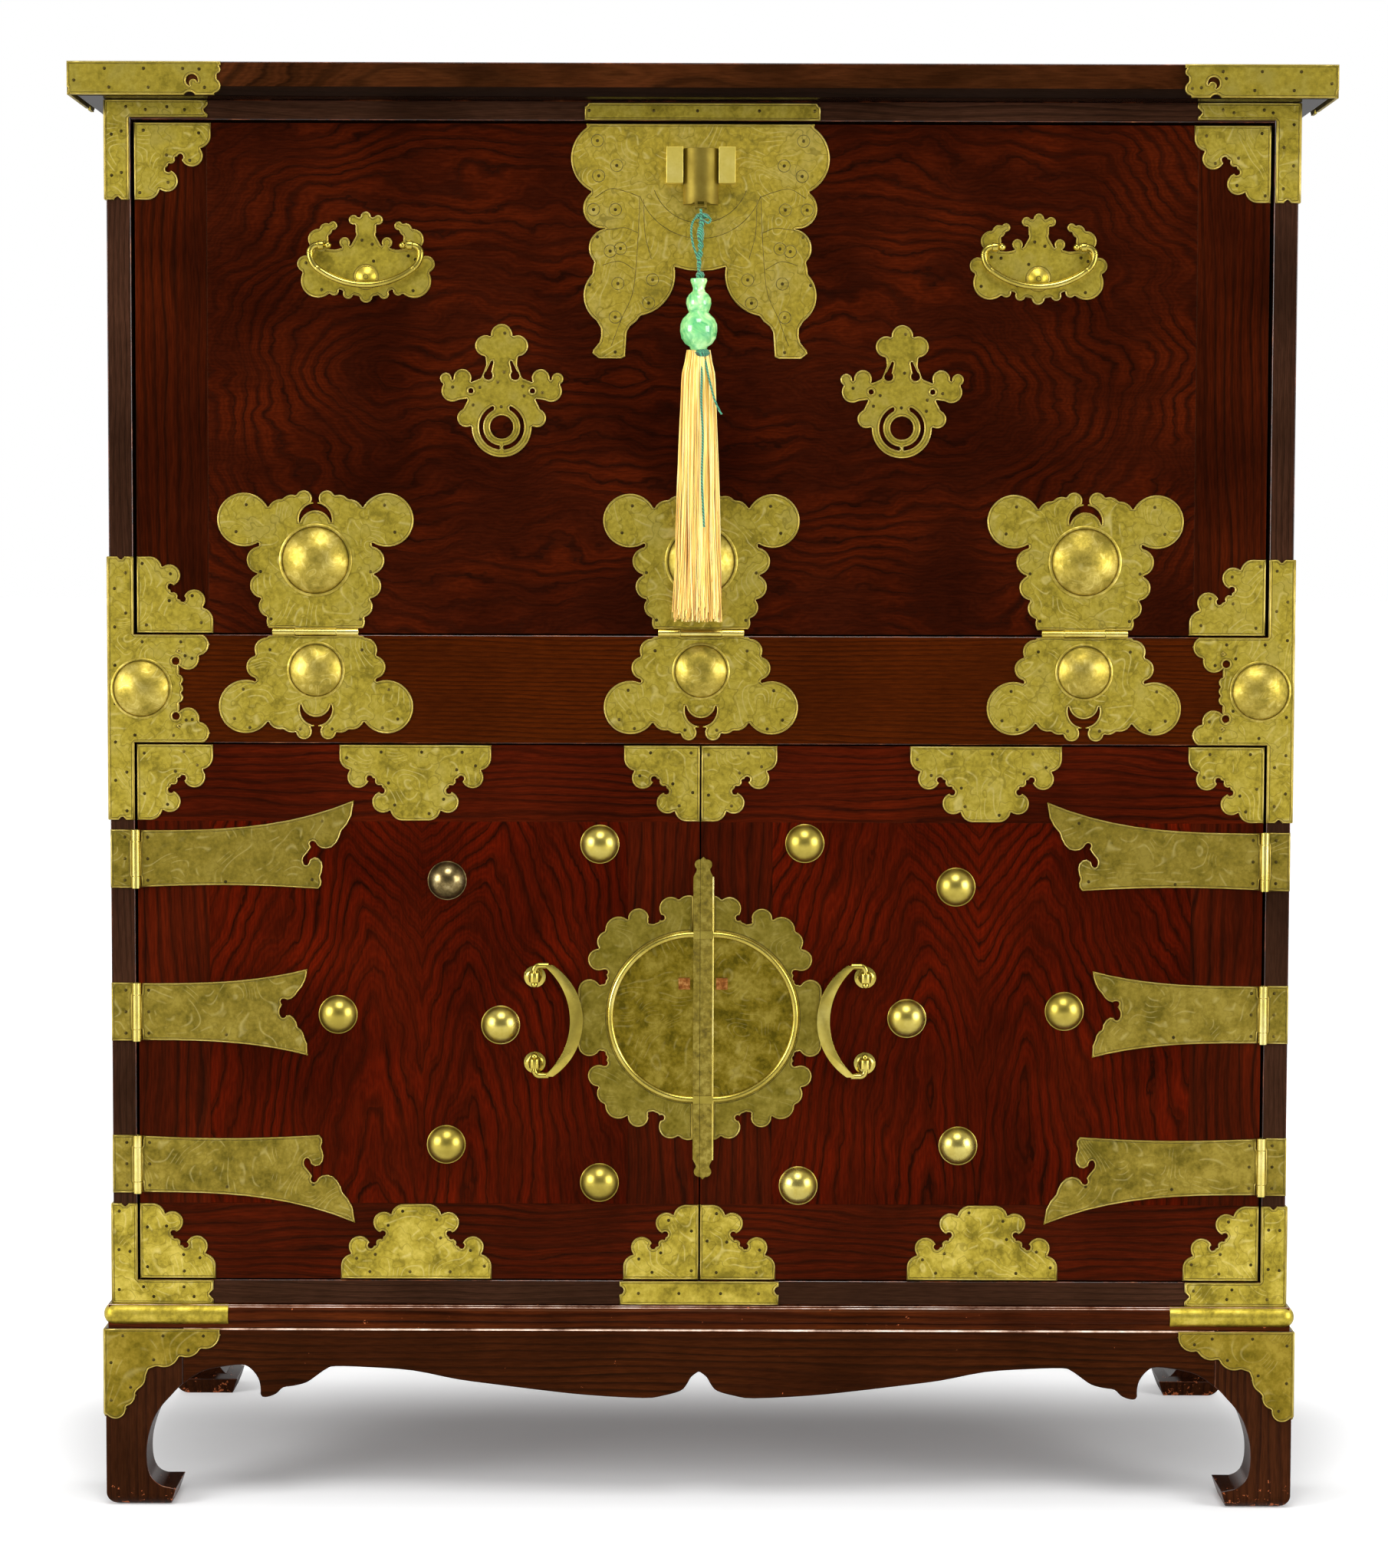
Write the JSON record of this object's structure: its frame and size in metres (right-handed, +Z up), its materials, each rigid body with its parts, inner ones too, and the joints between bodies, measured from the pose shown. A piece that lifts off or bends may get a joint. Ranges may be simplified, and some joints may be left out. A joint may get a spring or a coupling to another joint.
{
  "type": "lacquer cabinet",
  "caption": "Lacquered wood chest on a scalloped stand with a drop-front flap over a pair of doors, brass hinges, plates and studs, bail and pull handles and a tassel.",
  "frame": {"origin": "floor point under the middle of the top board's outline", "axes": "+X to the right seen from the front, +Y towards the back, +Z up; the flap and the doors face -Y"},
  "size_m": [0.9768, 0.4715, 1.1305],
  "materials": {
    "red_lacquered_wood": "gloss lacquer over figured wood",
    "dark_lacquered_wood": "gloss dark lacquer",
    "aged_brass": "aged, hand polished",
    "dark_brass": "aged, worn",
    "green_cord": "twisted silk",
    "green_jade": "polished, slightly translucent",
    "tassel_silk": "silk strands"
  },
  "bodies": {
    "cabinet": {"top_board": "red_lacquered_wood", "front_posts": "dark_lacquered_wood", "rear_posts": "dark_lacquered_wood", "upper_rail": "dark_lacquered_wood", "mid_rail": "red_lacquered_wood", "lower_rail": "dark_lacquered_wood", "side_rails": "dark_lacquered_wood", "side_panels": "red_lacquered_wood", "back_panel": "dark_lacquered_wood", "divider_board": "red_lacquered_wood", "case_floor": "red_lacquered_wood", "shelf": "red_lacquered_wood", "shelf_battens": "dark_lacquered_wood", "stand_moulding": "dark_lacquered_wood", "front_apron": "dark_lacquered_wood", "side_aprons": "dark_lacquered_wood", "rear_apron": "dark_lacquered_wood", "legs": "dark_lacquered_wood", "top_caps": "aged_brass", "frame_corner_plates": "aged_brass", "rail_plates": "aged_brass", "stand_caps": "aged_brass", "leg_plates": "aged_brass", "rail_hinge_leaves": "aged_brass", "post_hinge_leaves": "aged_brass", "hinge_pins": "dark_brass", "rail_bosses": "aged_brass"},
    "flap": {"flap_panel": "red_lacquered_wood", "flap_battens": "red_lacquered_wood", "flap_corner_plates": "aged_brass", "flap_hinge_leaves": "aged_brass", "flap_bosses": "aged_brass", "lock_plate": "aged_brass", "lock_keepers": "aged_brass", "bail_plates": "aged_brass", "bail_posts": "aged_brass", "flap_ornaments": "aged_brass"},
    "left_door": {"left_door_panel": "red_lacquered_wood", "left_door_frame": "red_lacquered_wood", "left_door_plates": "aged_brass", "left_door_straps": "aged_brass", "left_lock_half": "aged_brass", "left_door_studs": "aged_brass", "left_pull_posts": "aged_brass"},
    "right_door": {"right_door_panel": "red_lacquered_wood", "right_door_frame": "red_lacquered_wood", "right_door_plates": "aged_brass", "right_door_straps": "aged_brass", "right_lock_half": "aged_brass", "right_door_studs": "aged_brass", "right_pull_posts": "aged_brass"},
    "left_bail": {"left_bail": "aged_brass"},
    "right_bail": {"right_bail": "aged_brass"},
    "left_pull": {"left_pull": "aged_brass"},
    "right_pull": {"right_pull": "aged_brass"},
    "lock_slide": {"lock_slide": "dark_brass"},
    "tassel": {"cord": "green_cord", "gourd_bead": "green_jade", "tassel": "tassel_silk"}
  },
  "joints": [
    {"name": "flap_hinge", "type": "hinge", "parent": "cabinet", "child": "flap", "pos_m": [0, -0.2088, 0.6927], "axis": [1, 0, 0], "range_deg": [0, 158]},
    {"name": "left_door_hinge", "type": "hinge", "parent": "cabinet", "child": "left_door", "pos_m": [-0.4431, -0.20965, 0.3], "axis": [0, 0, -1], "range_deg": [0, 175]},
    {"name": "right_door_hinge", "type": "hinge", "parent": "cabinet", "child": "right_door", "pos_m": [0.4431, -0.20965, 0.3], "axis": [0, 0, 1], "range_deg": [0, 175]},
    {"name": "left_bail_swing", "type": "hinge", "parent": "flap", "child": "left_bail", "pos_m": [-0.2615, -0.214, 0.9926], "axis": [-1, 0, 0], "range_deg": [0, 165]},
    {"name": "right_bail_swing", "type": "hinge", "parent": "flap", "child": "right_bail", "pos_m": [0.2615, -0.214, 0.9926], "axis": [-1, 0, 0], "range_deg": [0, 165]},
    {"name": "left_pull_swing", "type": "hinge", "parent": "left_door", "child": "left_pull", "pos_m": [-0.13, -0.214, 0.3882], "axis": [0, 0, -1], "range_deg": [0, 120]},
    {"name": "right_pull_swing", "type": "hinge", "parent": "right_door", "child": "right_pull", "pos_m": [0.13, -0.214, 0.3882], "axis": [0, 0, 1], "range_deg": [0, 120]},
    {"name": "lock_slide_lift", "type": "slide", "parent": "flap", "child": "lock_slide", "axis": [0, 0, 1], "range_m": [0, 0.014]},
    {"name": "tassel_swing", "type": "hinge", "parent": "lock_slide", "child": "tassel", "pos_m": [-0.0012, -0.221, 1.022], "axis": [1, 0, 0], "range_deg": [-158, 0]}
  ],
  "couplings": [
    {"joint": "tassel_swing", "follows": "flap_hinge", "ratio": -1}
  ]
}
